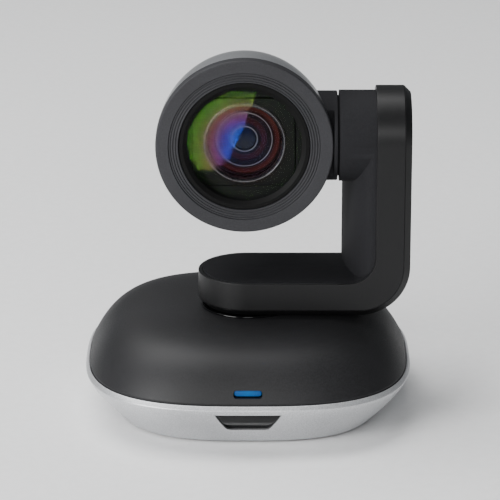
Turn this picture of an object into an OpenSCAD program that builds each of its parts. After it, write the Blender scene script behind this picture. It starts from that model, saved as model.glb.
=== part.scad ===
// Pan-tilt-zoom conference camera: a rounded-square base with a shallow dome, an L-shaped arm
// that pans on the dome, and a barrel head that tilts between the arm and free air.
// X is to the right, -Y is the way the lens looks, +Z is up. The pan axis is the Z axis.

/* [Base] */
// Width of the base across its rim
base_width = 131; // [129:0.5:134]
// Depth of the base across its rim
base_depth = 130; // [128:0.5:134]
// Height of the rim's crease above the table
rim_height = 18.9; // [18.5:0.1:19.5]
// Height of the dome's flat top above the table
dome_top = 40.4; // [39.8:0.1:40.6]
// Squareness of the base outline, where 2 is an ellipse
base_power = 2.9; // [2.6:0.1:3.4]
// Flatness of the dome, where a higher value is flatter
dome_power = 7; // [6.5:0.1:9]
// Size of the base's underside as a share of its rim
foot_share = 0.77; // [0.75:0.005:0.8]

/* [Arm] */
// Half the depth of the arm, which is also the radius of its two round ends
arm_half = 20; // [19.8:0.1:20.2]
// Height of the arm's underside above the table
arm_bottom = 41.5; // [41.5:0.1:41.8]
// Height of the arm's level top above the table
arm_top = 55.2; // [55:0.1:56]
// Distance from the pan axis to the arm's outer side
arm_outer = 64.4; // [64:0.1:65]
// Distance from the pan axis to the inner side of the upright
arm_inner = 50.6; // [50.2:0.1:51]
// Radius of the arm's outer corner
arm_corner = 20; // [16:0.5:22]
// Radius of the fillet inside the arm's corner
arm_fillet = 10.8; // [8:0.2:12]

/* [Head] */
// Height of the tilt axis above the table
tilt_height = 111; // [110:0.5:112]
// Sideways offset of the barrel's centre from the pan axis
head_offset = -1.4; // [-2:0.1:-1]
// Radius of the front bezel
bezel_radius = 35; // [34.6:0.1:35]
// Distance from the tilt axis to the front of the bezel
head_front = 17; // [16.8:0.1:17.5]
// Distance from the tilt axis to the back of the barrel
head_back = 40; // [39:0.5:41]

/* [Interfaces] */
// Radius of the tripod socket, a quarter-inch thread
tripod_radius = 3.175; // [3.1:0.005:3.2]
// Depth of the tripod socket
tripod_depth = 6.5; // [5.5:0.1:6.5]

/* [Hidden] */

$fn = 64;
tiny = 0.01;

// Base
outline_points = 72;
wall = 2;
foot_height = 1;
taper_power = 1.24;
base_steps = 7;
panel_z = rim_height + 1.4;
panel_x = base_width / 2 - 1.1;
panel_y = base_depth / 2 - 1.4;
panel_gap = 0.25;
plate_top = 3.4;
plate_gap = 0.15;
foot_radius = 6;
foot_place = 31;
post_x = 40;
post_y = 20;
post_radius = 3.2;
leg_place = 32;
leg_radius = 3;
screw_radius = 1.4;
screw_head = 2.8;
port_half = 24;
port_low = 3.8;
port_high = 18;
port_wall_y = 47.5;
port_rim = 1.4;
board_z = 6;
board_thick = 1.6;
board_top = board_z + board_thick;
jack_z = board_top + 4.4;
usb_x = -13;
usb_z = board_top + 2;
lock_x = 13.5;
lock_z = 11;
window_top_z = 16.7;
window_low_z = 8.5;
window_half = 12.8;
window_low_half = 6.6;
light_z = 24.3;

// Pan drive
shaft_radius = 9;
shaft_bore = 5;
shaft_low = 14.5;
run_gap = 0.05;
bridge_z = 21.5;
bridge_thick = 2;
bearing_radius = 11.5;
pan_module = 0.8;
pan_teeth = 50;
pinion_teeth = 12;
pan_gear_z = 16;
pan_gear_width = 3.5;
pan_centre = pan_module * (pan_teeth + pinion_teeth) / 2;
pinion_angle = 135;

// Arm
edge = 2.6;
skin = 1.8;
ridge = 0.8;
hub_flange = 15;
lining_fit = 0.1;
lining_skin = 1.6;
bulge_x = 38.1;
hub_face = 36.1;
hub_recess = 1.5;
arm_high = tilt_height + arm_half;

// Tilt drive
deep_face = arm_inner + lining_skin;
tilt_module = 0.5;
tilt_teeth = 64;
tilt_gear_x = 53.4;
tilt_gear_width = 3;
drive_plate_thick = 0.8;
tilt_shaft_radius = 6;
tilt_centre = tilt_module * (tilt_teeth + pinion_teeth) / 2;
tilt_motor_y = 9;
tilt_motor_angle = asin(tilt_motor_y / tilt_centre);
boss_radius = 17.8;
boss_root = 27;
shaft_in = 23.5;
shaft_out = 57.4;
boss_face = 35.35;
neck_radius = 16;
neck_end = 37.2;

// Head
barrel_radius = 34.7;
barrel_arc = 80;
barrel_widest = 10;
cap_seam = 34;
cap_flat = 12;
groove_out = 30;
groove_in = 25.9;
groove_count = 4;
groove_pitch = (groove_out - groove_in) / groove_count;
glass_radius = 23.6;
mask_width = 40.7;
mask_height = 36.5;
housing_x = 19.8;
housing_y = 17.8;
housing_back = 24;
housing_front = 10.5;
housing_wall = 1.5;
rod_radius = 0.8;
rod_x = 14;
rod_y = 12.5;
slide_gap = 0.06;
spoke_angle = atan(rod_y / rod_x);
spoke_length = norm([rod_x, rod_y]) - 1.5;

function foot_scale(z) = 1 - (1 - foot_share) * pow(1 - z / rim_height, taper_power);

function outline(a, b, z) = [
    for (i = [0:outline_points - 1])
        let (
            c = cos(360 * i / outline_points),
            s = sin(360 * i / outline_points),
            r = pow(pow(abs(c) / a, base_power) + pow(abs(s) / b, base_power), -1 / base_power)
        )
        [r * c, r * s, z]
];

plate_x = base_width / 2 * foot_scale(foot_height) - wall - plate_gap;
plate_y = base_depth / 2 * foot_scale(foot_height) - wall - plate_gap;

function barrel_profile(y, inset) =
    barrel_radius - barrel_arc - inset + sqrt(pow(barrel_arc, 2) - pow(y + barrel_widest, 2));

// Closed solid through a stack of superellipse rings, each given as [half x, half y, z]
module loft(rings) {
    n = outline_points;
    last = len(rings) - 1;
    points = [for (ring = rings) each outline(ring[0], ring[1], ring[2])];
    floor_face = [for (i = [0:n - 1]) i];
    roof_face = [for (i = [n - 1:-1:0]) last * n + i];
    sides = [
        for (k = [0:last - 1], i = [0:n - 1])
            let (j = (i + 1) % n)
            each [
                [k * n + i, (k + 1) * n + i, (k + 1) * n + j],
                [k * n + i, (k + 1) * n + j, k * n + j]
            ]
    ];
    polyhedron(points = points, faces = concat([floor_face], [roof_face], sides));
}

// Rings of the lower base from its foot up to its lip, drawn in by inset
function base_rings(inset, low) = concat(
    [
        for (k = [0:base_steps])
            let (z = low + (rim_height - low) * k / base_steps)
            [
                base_width / 2 * foot_scale(z) - inset,
                base_depth / 2 * foot_scale(z) - inset,
                z
            ]
    ],
    [[panel_x - inset, panel_y - inset, panel_z]]
);

module base_solid(inset, low) {
    loft(base_rings(inset, low));
}

// Wall of the lower base: up its outside, across the lip, down its inside and back under the foot
module base_wall() {
    inside = base_rings(wall, foot_height);
    rings = concat(base_rings(0, foot_height), [for (k = [len(inside) - 1:-1:0]) inside[k]]);
    n = outline_points;
    points = [for (ring = rings) each outline(ring[0], ring[1], ring[2])];
    faces = [
        for (k = [0:len(rings) - 1], i = [0:n - 1])
            let (j = (i + 1) % n, m = (k + 1) % len(rings))
            each [
                [k * n + i, m * n + i, m * n + j],
                [k * n + i, m * n + j, k * n + j]
            ]
    ];
    polyhedron(points = points, faces = faces);
}

// Solid under the dome, drawn in by inset
module dome_solid(inset) {
    steps = 11;
    x = panel_x - panel_gap - inset;
    y = panel_y - panel_gap - inset;
    rise = dome_top - inset - panel_z;
    start = inset > 0 ? [[x, y, panel_z - 1]] : [];
    loft(concat(
        start,
        [
            for (k = [0:steps])
                let (
                    up = sin(7.5 * k),
                    share = pow(1 - up, 1 / dome_power)
                )
                [x * share, y * share, panel_z + rise * up]
        ],
        [[x * 0.25, y * 0.25, panel_z + rise]]
    ));
}

module four_corners(x, y) {
    for (sx = [-1, 1], sy = [-1, 1]) translate([sx * x, sy * y, 0]) children();
}

module four_legs() {
    for (a = [0:90:270]) rotate([0, 0, a]) translate([leg_place, 0, 0]) children();
}

module ring(outer, inner, height) {
    difference() {
        cylinder(r = outer, h = height);
        translate([0, 0, -1]) cylinder(r = inner, h = height + 2);
    }
}

// Spur gear with straight-flanked teeth, the first tooth centred on +X
module spur(module_mm, teeth, width) {
    pitch_radius = module_mm * teeth / 2;
    pitch_angle = 360 / teeth;
    root = pitch_radius - 1.15 * module_mm;
    tip = pitch_radius + 0.75 * module_mm;
    points = [
        for (i = [0:teeth - 1])
            let (a = i * pitch_angle)
            each [
                [root * cos(a - pitch_angle * 0.33), root * sin(a - pitch_angle * 0.33)],
                [tip * cos(a - pitch_angle * 0.1), tip * sin(a - pitch_angle * 0.1)],
                [tip * cos(a + pitch_angle * 0.1), tip * sin(a + pitch_angle * 0.1)],
                [root * cos(a + pitch_angle * 0.33), root * sin(a + pitch_angle * 0.33)]
            ]
    ];
    linear_extrude(width) polygon(points);
}

// Local +Z of the children points out of the front of the lens
module on_barrel() {
    translate([head_offset, 0, tilt_height]) rotate([90, 0, 0]) children();
}

// Local +Z of the children points along +X from the tilt axis
module on_tilt_axis(x) {
    translate([x, 0, tilt_height]) rotate([90, 0, 90]) children();
}

module rounded_plate(half_x, half_y, radius, height) {
    linear_extrude(height) union() {
        square([2 * half_x, 2 * (half_y - radius)], center = true);
        square([2 * (half_x - radius), 2 * half_y], center = true);
        for (sx = [-1, 1], sy = [-1, 1])
            translate([sx * (half_x - radius), sy * (half_y - radius)]) circle(r = radius);
    }
}

// ---- Base ----

// Trapezoid with rounded lower corners, grown by grow all round
module window_prism(grow) {
    corner = 2.8;
    steps = 6;
    lean = 60;
    right = concat(
        [[window_half + grow, window_top_z + grow]],
        [
            for (k = [0:steps])
                let (a = -90 + lean - lean * k / steps)
                [
                    window_low_half + (corner + grow) * cos(a),
                    window_low_z + corner + (corner + grow) * sin(a)
                ]
        ]
    );
    left = [for (k = [len(right) - 1:-1:0]) [-right[k][0], right[k][1]]];
    translate([0, -50, 0]) rotate([90, 0, 0]) linear_extrude(20) polygon(concat(right, left));
}

module port_block(gap) {
    translate([-port_half + gap, 44, port_low + gap])
        cube([2 * (port_half - gap), 26, port_high - port_low - 2 * gap]);
}

module lower_shell() {
    color("#b9babb") difference() {
        base_wall();
        window_prism(0.15);
        port_block(0);
    }
}

module light_slot(half_width, half_height, length) {
    rotate([90, 0, 0]) linear_extrude(length) {
        square([2 * (half_width - half_height), 2 * half_height], center = true);
        for (sx = [-1, 1])
            translate([sx * (half_width - half_height), 0]) circle(r = half_height);
    }
}

module top_cover() {
    color("#2b2b2c") difference() {
        union() {
            difference() {
                dome_solid(0);
                dome_solid(wall);
            }
            four_corners(post_x, post_y)
                translate([0, 0, plate_top]) cylinder(r = post_radius, h = 34.4);
        }
        translate([0, 0, 30]) cylinder(r = shaft_radius + 1.5, h = 12);
        translate([0, -52, light_z]) light_slot(5.6, 1.45, 14);
        four_corners(post_x, post_y)
            translate([0, 0, plate_top - 1]) cylinder(r = screw_radius, h = 11);
    }
}

module bottom_plate() {
    color("#3a3a3c") difference() {
        union() {
            translate([0, 0, foot_height]) linear_extrude(plate_top - foot_height)
                polygon([for (p = outline(plate_x, plate_y, 0)) [p[0], p[1]]]);
            four_corners(22, 36)
                translate([0, 0, plate_top]) cylinder(r = 2.6, h = board_z - plate_top);
        }
        translate([0, 0, -1]) cylinder(r = 5.5, h = 10);
        four_corners(foot_place, foot_place) translate([0, 0, -1]) cylinder(r = foot_radius, h = 2.8);
        four_corners(post_x, post_y) base_screw_hole();
        four_legs() base_screw_hole();
    }
}

module base_screw_hole() {
    cylinder(r = screw_radius + 0.2, h = 10);
    translate([0, 0, -1]) cylinder(r = screw_head + 0.3, h = 3.2);
}

module base_screw() {
    translate([0, 0, 1.3]) difference() {
        union() {
            cylinder(r = screw_head, h = 0.9);
            cylinder(r = screw_radius, h = 9);
        }
        translate([0, 0, -1]) cylinder(r = 1.1, h = 1.6, $fn = 6);
    }
}

module base_screws() {
    color("#8f9092") {
        four_corners(post_x, post_y) base_screw();
        four_legs() base_screw();
    }
}

module rubber_feet() {
    color("#1c1c1d") four_corners(foot_place, foot_place) cylinder(r = foot_radius, h = 1.8);
}

module tripod_insert() {
    color("#b8964c") difference() {
        union() {
            translate([0, 0, foot_height]) cylinder(r = 5.5, h = 7.4);
            translate([0, 0, plate_top]) cylinder(r = 7.5, h = 1.2);
        }
        translate([0, 0, foot_height - 1]) cylinder(r = tripod_radius, h = tripod_depth + 1);
    }
}

module port_panel() {
    color("#1f1f20") difference() {
        intersection() {
            base_solid(0.2, foot_height);
            port_block(0.15);
        }
        translate([-port_half + port_rim, port_wall_y, port_low + port_rim])
            cube([2 * (port_half - port_rim), 30, port_high - port_low - 2 * port_rim]);
        translate([-port_half - 1, 40, port_low - 1]) cube([2 * port_half + 2, 5.7, 20]);
        translate([usb_x - 4, 40, usb_z - 2.1]) cube([8, 12, 4.2]);
        translate([0, 40, jack_z]) rotate([-90, 0, 0]) cylinder(r = 4.35, h = 12);
        translate([lock_x - 3.5, 40, lock_z - 1.5]) cube([7, 12, 3]);
    }
}

module remote_window() {
    color("#0a0a0b") intersection() {
        difference() {
            base_solid(0.25, foot_height);
            base_solid(wall, foot_height - 0.5);
        }
        window_prism(0);
    }
}

module status_light() {
    color("#1c86d8") translate([0, -54, light_z + 0.1]) light_slot(5.4, 1.2, 6.6);
}

module light_board() {
    color("#1d5b34") translate([-8, -53.9, light_z - 3.3]) cube([16, 1, 6.6]);
}

module remote_receiver() {
    color("#202124") translate([0, -38, board_top]) {
        translate([-3, -4, 0]) cube([6, 4, 6]);
        translate([0, -4, 3.4]) sphere(r = 2, $fn = 32);
    }
}

module main_board() {
    color("#1d5b34") difference() {
        translate([-27, -43, board_z]) cube([54, 86, board_thick]);
        translate([0, 0, board_z - 1]) cylinder(r = 8, h = 4);
        for (sy = [-1, 1])
            translate([0, sy * leg_place, board_z - 1]) cylinder(r = leg_radius + 0.4, h = 4);
    }
}

module shield_can() {
    color("#b5b8bb") translate([-22, -30, board_top]) difference() {
        cube([18, 20, 3]);
        translate([0.4, 0.4, -1]) cube([17.2, 19.2, 3.6]);
    }
}

module usb_port() {
    color("#c3c5c8") translate([usb_x, 40, usb_z]) difference() {
        translate([-3.85, 0, -2]) cube([7.7, 8, 3.95]);
        difference() {
            translate([-3.4, 1, -1.55]) cube([6.8, 10, 3.05]);
            translate([-2.4, 0, -0.4]) cube([4.8, 7, 0.8]);
        }
    }
}

module power_jack() {
    color("#18181a") translate([0, 36, jack_z]) rotate([-90, 0, 0]) {
        difference() {
            cylinder(r = 4.3, h = 12.6);
            translate([0, 0, 3]) cylinder(r = 2.85, h = 12);
        }
        translate([0, 0, 2.9]) cylinder(r = 1.05, h = 8.5);
    }
}

module lock_plate() {
    color("#9fa1a3") translate([lock_x - 6, 44.5, lock_z - 3]) difference() {
        cube([12, 1.2, 6]);
        translate([2.5, -1, 1.5]) cube([7, 4, 3]);
    }
}

module pan_bridge() {
    color("#a9abad") difference() {
        union() {
            translate([0, 0, bridge_z]) cylinder(r = 36, h = bridge_thick);
            translate([0, 0, bridge_z]) cylinder(r = bearing_radius + 2, h = 16);
            four_legs() translate([0, 0, plate_top]) cylinder(r = leg_radius, h = bridge_z - plate_top);
        }
        translate([0, 0, bridge_z - 1]) cylinder(r = shaft_radius + 0.6, h = 20);
        translate([0, 0, 27]) cylinder(r = bearing_radius, h = 20);
        on_pinion(bridge_z - 1) cylinder(r = 2.5, h = 4);
        four_legs() translate([0, 0, plate_top - 1]) cylinder(r = screw_radius, h = 10);
        for (a = [0, 90, 180]) rotate([0, 0, a - pinion_angle]) translate([24, 0, bridge_z - 1])
            cylinder(r = 6, h = 4);
    }
}

module on_pinion(z) {
    translate([pan_centre * cos(pinion_angle), pan_centre * sin(pinion_angle), z]) children();
}

module pan_bearing() {
    color("#c9b37a") translate([0, 0, 27]) ring(bearing_radius, shaft_radius + run_gap, 10.4);
}

module pan_motor() {
    color("#8d9094") on_pinion(bridge_z + bridge_thick) {
        cylinder(r = 10, h = 10.5);
        translate([0, 0, -bridge_thick]) cylinder(r = 2.4, h = bridge_thick);
    }
}

module pan_pinion() {
    color("#d9d6c9") on_pinion(pan_gear_z) rotate([0, 0, pinion_angle + 180 / pinion_teeth]) {
        spur(pan_module, pinion_teeth, pan_gear_width);
        translate([0, 0, pan_gear_width]) cylinder(r = 2, h = 1.7);
    }
}

module hub_ring() {
    color("#202021") translate([0, 0, dome_top]) difference() {
        union() {
            cylinder(r = 19, h = 0.5);
            translate([0, 0, 0.5]) cylinder(r1 = 19, r2 = 18.7, h = 0.3);
        }
        translate([0, 0, -1]) cylinder(r = shaft_radius + 0.8, h = 4);
    }
}

// ---- Pan body: spindle and arm ----

module pan_shaft() {
    top = arm_bottom + edge;
    color("#b3b5b8") difference() {
        union() {
            translate([0, 0, shaft_low]) cylinder(r = shaft_radius, h = top - shaft_low);
            translate([0, 0, top]) cylinder(r = hub_flange, h = 2);
        }
        translate([0, 0, shaft_low - 1]) cylinder(r = shaft_bore, h = 40);
        shaft_screw_places() translate([0, 0, 40]) cylinder(r = 1.1, h = 10);
    }
}

module shaft_screw_places() {
    for (a = [45:90:315]) rotate([0, 0, a]) translate([12.2, 0, 0]) children();
}

module pan_gear() {
    color("#e2dfd2") translate([0, 0, pan_gear_z]) difference() {
        rotate([0, 0, pinion_angle]) spur(pan_module, pan_teeth, pan_gear_width);
        translate([0, 0, -1]) cylinder(r = shaft_radius, h = 8);
    }
}

module pan_clip() {
    color("#6f7276") translate([0, 0, pan_gear_z - 1]) difference() {
        cylinder(r = shaft_radius + 2.5, h = 1);
        translate([0, 0, -1]) cylinder(r = shaft_radius, h = 4);
    }
}

// Region outside the arm's outer seam, seen from the front, drawn in by inset
module outer_region(inset) {
    radius = arm_corner - inset;
    left = -arm_half - 5;
    difference() {
        translate([left, arm_bottom + inset])
            square([arm_outer - inset - left, arm_high + 5 - arm_bottom - inset]);
        translate([arm_outer - arm_corner, arm_bottom + inset]) difference() {
            square([radius + tiny, radius]);
            translate([0, radius]) circle(r = radius);
        }
    }
}

// Open space inside the L, seen from the front
module inner_region() {
    difference() {
        translate([-60, arm_top]) square([60 + arm_inner, arm_high]);
        translate([arm_inner - arm_fillet, arm_top]) difference() {
            square([arm_fillet + tiny, arm_fillet]);
            translate([0, arm_fillet]) circle(r = arm_fillet);
        }
    }
}

module from_front(depth) {
    rotate([90, 0, 0]) linear_extrude(2 * depth, center = true) children();
}

module plan_prism(radius) {
    translate([0, 0, arm_bottom - 5]) linear_extrude(arm_high - arm_bottom + 10) {
        circle(r = radius);
        translate([0, -radius]) square([arm_outer + 5, 2 * radius]);
    }
}

module side_prism(radius) {
    translate([-arm_half - 5, 0, 0]) rotate([90, 0, 90]) linear_extrude(arm_outer + arm_half + 10) {
        translate([0, tilt_height]) circle(r = radius);
        translate([-radius, arm_bottom - 5]) square([2 * radius, tilt_height - arm_bottom + 5]);
    }
}

module arm_frame() {
    inside = arm_half - skin;
    color("#29292b") difference() {
        intersection() {
            from_front(arm_half + 1) difference() {
                outer_region(edge);
                inner_region();
            }
            plan_prism(arm_half);
            side_prism(arm_half);
        }
        intersection() {
            plan_prism(inside);
            side_prism(inside);
        }
    }
}

// Plan of the upright's bulge, a quarter ellipse that grows from the front edge to the back
module bulge_plan(front, back, inner_x, outer_x, base_x) {
    steps = 16;
    polygon(concat(
        [[outer_x, back], [outer_x, front], [base_x, front]],
        [
            for (k = [1:steps])
                let (a = 90 * k / steps)
                [base_x - (base_x - inner_x) * sin(a), back - (back - front) * cos(a)]
        ]
    ));
}

module arm_lining() {
    inside = arm_half - skin - lining_fit;
    seat = arm_top - lining_skin;
    cave_x = bulge_x + lining_skin;
    color("#2e2e30") difference() {
        union() {
            intersection() {
                plan_prism(inside);
                roof_bar(deep_face);
            }
            intersection() {
                from_front(inside) difference() {
                    translate([arm_inner - arm_fillet, seat]) square([arm_fillet + lining_skin, arm_fillet]);
                    inner_region();
                }
                plan_prism(inside);
            }
            translate([0, 0, seat]) linear_extrude(tilt_height - seat)
                bulge_plan(-inside, inside, bulge_x, deep_face, arm_inner);
            intersection() {
                translate([0, 0, seat]) linear_extrude(tilt_height - seat)
                    translate([bulge_x, inside - 1]) square([arm_inner - bulge_x, 1 + skin + lining_fit]);
                from_front(arm_half + 1) inner_region();
            }
            on_tilt_axis(hub_face) cylinder(r = inside, h = deep_face - hub_face);
        }
        translate([0, 0, seat - 1]) linear_extrude(tilt_height - seat + 1)
            bulge_plan(-inside + lining_skin, inside - 0.4, cave_x, deep_face + 1, deep_face);
        on_tilt_axis(hub_face + 3.5) cylinder(r = inside - lining_skin, h = 20);
        on_tilt_axis(hub_face - 1) cylinder(r = neck_radius + 0.35, h = 1 + hub_recess);
        on_tilt_axis(hub_face - 1) cylinder(r = 8.5, h = 10);
    }
    color("#2e2e30") on_tilt_axis(hub_face + 3.5) ring(10.5, 8.5, 4.4);
}

module roof_bar(reach) {
    inside = arm_half - skin - lining_fit;
    translate([-arm_half, 0, 0]) rotate([90, 0, 90]) linear_extrude(arm_half + reach - 6) polygon([
        [-inside, arm_top - lining_skin],
        [inside, arm_top - lining_skin],
        [inside, arm_top],
        [0, arm_top + ridge],
        [-inside, arm_top]
    ]);
}

module arm_cover() {
    low = arm_half - edge;
    corner_x = arm_outer - arm_corner;
    corner_z = arm_bottom + arm_corner;
    color("#242426") difference() {
        hull() {
            translate([0, 0, arm_bottom]) cylinder(r = low, h = edge);
            translate([0, 0, arm_bottom + edge]) cylinder(r = arm_half, h = 8);
            translate([corner_x, 0, corner_z]) rotate([90, 0, 0])
                cylinder(r = arm_corner, h = 2 * low, center = true);
            translate([corner_x, 0, corner_z]) rotate([90, 0, 0])
                cylinder(r = arm_corner - edge, h = 2 * arm_half, center = true);
            on_tilt_axis(arm_outer - edge) cylinder(r = low, h = edge);
            on_tilt_axis(arm_outer - edge - 8) cylinder(r = arm_half, h = 8);
        }
        from_front(arm_half + 5) outer_region(edge);
        translate([0, 0, arm_bottom - 1]) cylinder(r = shaft_radius, h = 8);
        shaft_screw_places() translate([0, 0, arm_bottom - 1]) {
            cylinder(r = 1.3, h = 8);
            cylinder(r = 2.4, h = 2.2);
        }
    }
}

module arm_screws() {
    color("#8f9092") shaft_screw_places() translate([0, 0, arm_bottom + 0.2]) difference() {
        union() {
            cylinder(r = 2.2, h = 1);
            cylinder(r = 1.1, h = 4.4);
        }
        translate([0, 0, -1]) cylinder(r = 0.9, h = 1.6, $fn = 6);
    }
}

module drive_plate() {
    color("#9fa2a5") difference() {
        on_tilt_axis(deep_face) linear_extrude(drive_plate_thick) difference() {
            union() {
                circle(r = arm_half - skin - 0.2);
                translate([-arm_half + skin + 0.2, -38]) square([2 * (arm_half - skin - 0.2), 38]);
            }
            circle(r = 8);
            translate([tilt_motor_y, -tilt_centre * cos(tilt_motor_angle)]) circle(r = 2.6);
        }
    }
}

module on_tilt_motor(x) {
    translate([x, tilt_motor_y, tilt_height - tilt_centre * cos(tilt_motor_angle)])
        rotate([90, 0, 90]) children();
}

module tilt_motor() {
    color("#8d9094") {
        on_tilt_motor(deep_face - 9) cylinder(r = 7, h = 9);
        on_tilt_motor(deep_face) cylinder(r = 2.5, h = drive_plate_thick);
    }
}

module tilt_pinion() {
    color("#d9d6c9") on_tilt_motor(tilt_gear_x) {
        rotate([0, 0, tilt_motor_angle + 90 + 180 / pinion_teeth])
            spur(tilt_module, pinion_teeth, tilt_gear_width);
        translate([0, 0, -0.3]) cylinder(r = 1.2, h = 0.3);
    }
}

module tilt_bearing() {
    color("#c9b37a") on_tilt_axis(hub_face + 2.2) ring(8.5, tilt_shaft_radius + run_gap, 5.8);
}

module arm_board() {
    low = arm_bottom + edge;
    color("#1d5b34") {
        translate([20, -12, low + 1.5]) cube([22, 24, 1.2]);
        for (x = [22, 40], y = [-10, 10]) translate([x, y, low]) cylinder(r = 1.5, h = 1.5);
    }
}

module arm_cable() {
    color("#3a3f46") {
        translate([4, -5, 49]) cube([40, 8, 0.5]);
        translate([43.5, -5, 49.5]) cube([0.5, 8, 34]);
    }
}

// ---- Tilt body: head ----

module barrel_shell() {
    front = head_front - 5;
    steps = 18;
    color("#9a9c9f") difference() {
        on_barrel() rotate_extrude($fn = 96) polygon(concat(
            [
                for (k = [0:steps])
                    let (z = front - (front + cap_seam) * k / steps)
                    [barrel_profile(-z, 0), z]
            ],
            [
                for (k = [steps:-1:0])
                    let (z = front - (front + cap_seam) * k / steps)
                    [barrel_profile(-z, wall), z]
            ]
        ));
        on_tilt_axis(18) cylinder(r = boss_radius + 0.2, h = 20);
    }
}

module rear_cap() {
    steps = 8;
    depth = head_back - cap_seam;
    rim = barrel_profile(cap_seam, 0);
    color("#2b2b2d") on_barrel() rotate_extrude($fn = 96) polygon(concat(
        [[0, -cap_seam], [rim, -cap_seam]],
        [
            for (k = [1:steps])
                let (a = 90 * k / steps)
                [cap_flat + (rim - cap_flat) * cos(a), -cap_seam - depth * sin(a)]
        ],
        [[0, -head_back]]
    ));
}

module front_bezel() {
    face = head_front;
    floor_z = face - 0.75;
    groove_points = [
        for (k = [0:groove_count - 1])
            let (r = groove_out - k * groove_pitch)
            each [
                [r - groove_pitch * 0.35, floor_z - 0.25],
                [r - groove_pitch * 0.6, floor_z + 0.15],
                [r - groove_pitch * 0.9, floor_z + 0.15]
            ]
    ];
    color("#4a4a4c") on_barrel() rotate_extrude($fn = 96) polygon(concat(
        [
            [groove_in, face - 5],
            [bezel_radius - 3, face - 5],
            [bezel_radius - 0.4, face - 5],
            [bezel_radius, face - 4.6],
            [bezel_radius, face - 0.8],
            [bezel_radius - 0.8, face],
            [groove_out, face]
        ],
        groove_points,
        [[groove_in, floor_z - 0.1]]
    ));
}

module trim_ring() {
    face = head_front - 0.9;
    color("#0c0c0d") on_barrel() rotate_extrude($fn = 96) polygon([
        [glass_radius - 1.2, face - 4.2],
        [groove_in, face - 4.2],
        [groove_in, face - 0.3],
        [groove_in - 0.3, face],
        [glass_radius + 0.5, face - 0.2],
        [glass_radius, face - 0.6],
        [glass_radius, face - 2.7],
        [glass_radius - 1.2, face - 2.7]
    ]);
}

module front_window() {
    color([0.1, 0.12, 0.14, 0.35]) on_barrel() translate([0, 0, head_front - 3.6])
        cylinder(r = glass_radius, h = 1.4, $fn = 96);
}

module lens_mask() {
    color("#141416") on_barrel() translate([0, 0, head_front - 6.1]) difference() {
        cylinder(r = groove_in - 0.3, h = 1, $fn = 96);
        translate([0, 0.8, -1]) rounded_plate(mask_width / 2, mask_height / 2, 8, 3);
    }
}

module tilt_boss() {
    clear_x = bezel_radius + head_offset + 0.3;
    color("#1d1d1f") difference() {
        union() {
            on_tilt_axis(boss_root) cylinder(r = boss_radius, h = boss_face - boss_root);
            on_tilt_axis(boss_face) cylinder(r = neck_radius, h = neck_end - boss_face);
        }
        on_tilt_axis(boss_root - 1) cylinder(r = tilt_shaft_radius, h = 20);
        translate([boss_root - 1, -30, tilt_height - 30]) cube([clear_x - boss_root + 1, 30 - head_front + 5.4, 60]);
    }
}

module tilt_shaft() {
    color("#b3b5b8") difference() {
        union() {
            on_tilt_axis(shaft_in) cylinder(r = tilt_shaft_radius, h = shaft_out - shaft_in);
            on_tilt_axis(shaft_in) cylinder(r = 10, h = boss_root - shaft_in);
        }
        on_tilt_axis(20) cylinder(r = 3.5, h = 40);
    }
}

module tilt_gear() {
    color("#e2dfd2") on_tilt_axis(tilt_gear_x) difference() {
        rotate([0, 0, tilt_motor_angle - 90]) spur(tilt_module, tilt_teeth, tilt_gear_width);
        translate([0, 0, -1]) cylinder(r = tilt_shaft_radius, h = 8);
    }
}

module tilt_clip() {
    color("#6f7276") on_tilt_axis(tilt_gear_x + tilt_gear_width)
        ring(tilt_shaft_radius + 2, tilt_shaft_radius, 0.8);
}

module head_frame() {
    color("#303236") on_barrel() translate([0, 0, 2]) difference() {
        cylinder(r = barrel_radius - wall - 0.5, h = 2, $fn = 96);
        translate([0, 0, -1]) rounded_plate(housing_x, housing_y, 6, 4);
        translate([shaft_in - head_offset, -20, -1]) cube([20, 40, 4]);
        frame_screw_places() translate([0, 0, -1]) cylinder(r = 1, h = 4);
    }
}

module frame_screw_places() {
    for (sx = [-1, 1], sy = [-1, 1]) translate([sx * 12, sy * 21.5, 0]) children();
}

module head_screws() {
    color("#8f9092") on_barrel() frame_screw_places() {
        translate([0, 0, 4]) difference() {
            cylinder(r = 1.9, h = 1.2);
            translate([0, 0, 0.5]) cylinder(r = 0.8, h = 2, $fn = 6);
        }
        translate([0, 0, 0.5]) cylinder(r = 1, h = 3.5);
    }
}

module lens_housing() {
    lug = 2;
    color("#232427") on_barrel() difference() {
        union() {
            translate([0, 0, -housing_back])
                rounded_plate(housing_x, housing_y, 6, housing_back + housing_front);
            for (sy = [-1, 1])
                translate([-15, sy > 0 ? housing_y - 1 : -housing_y - 6.5, 0]) cube([30, 7.5, lug]);
        }
        translate([0, 0, -housing_back + housing_wall]) rounded_plate(
            housing_x - housing_wall, housing_y - housing_wall, 4.5,
            housing_back + housing_front - 2 * housing_wall
        );
        translate([0, 0, 5]) cylinder(r = 16.2, h = 10);
        translate([0, 0, -housing_back - 1]) cylinder(r = 6, h = 4);
        frame_screw_places() translate([0, 0, -1]) cylinder(r = 1, h = 4);
    }
}

module lens_tube() {
    color("#3a3b3e") on_barrel() translate([0, 0, 4]) difference() {
        cylinder(r = 16.2, h = 7.4);
        translate([0, 0, 1.4]) cylinder(r = 14.8, h = 8);
        translate([0, 0, -1]) cylinder(r = 11.2, h = 4);
    }
}

// Double-convex lens of the given radius, edge thickness and bulge on each side
module lens(radius, rim, bulge) {
    steps = 8;
    rotate_extrude() polygon(concat(
        [for (k = [0:steps]) let (r = radius * k / steps) [r, -rim / 2 - bulge * (1 - pow(r / radius, 2))]],
        [for (k = [steps:-1:0]) let (r = radius * k / steps) [r, rim / 2 + bulge * (1 - pow(r / radius, 2))]]
    ));
}

module front_lens() {
    color([0.25, 0.3, 0.5, 0.4]) on_barrel() translate([0, 0, 8.2]) lens(14.8, 2.2, 1.4);
}

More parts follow.
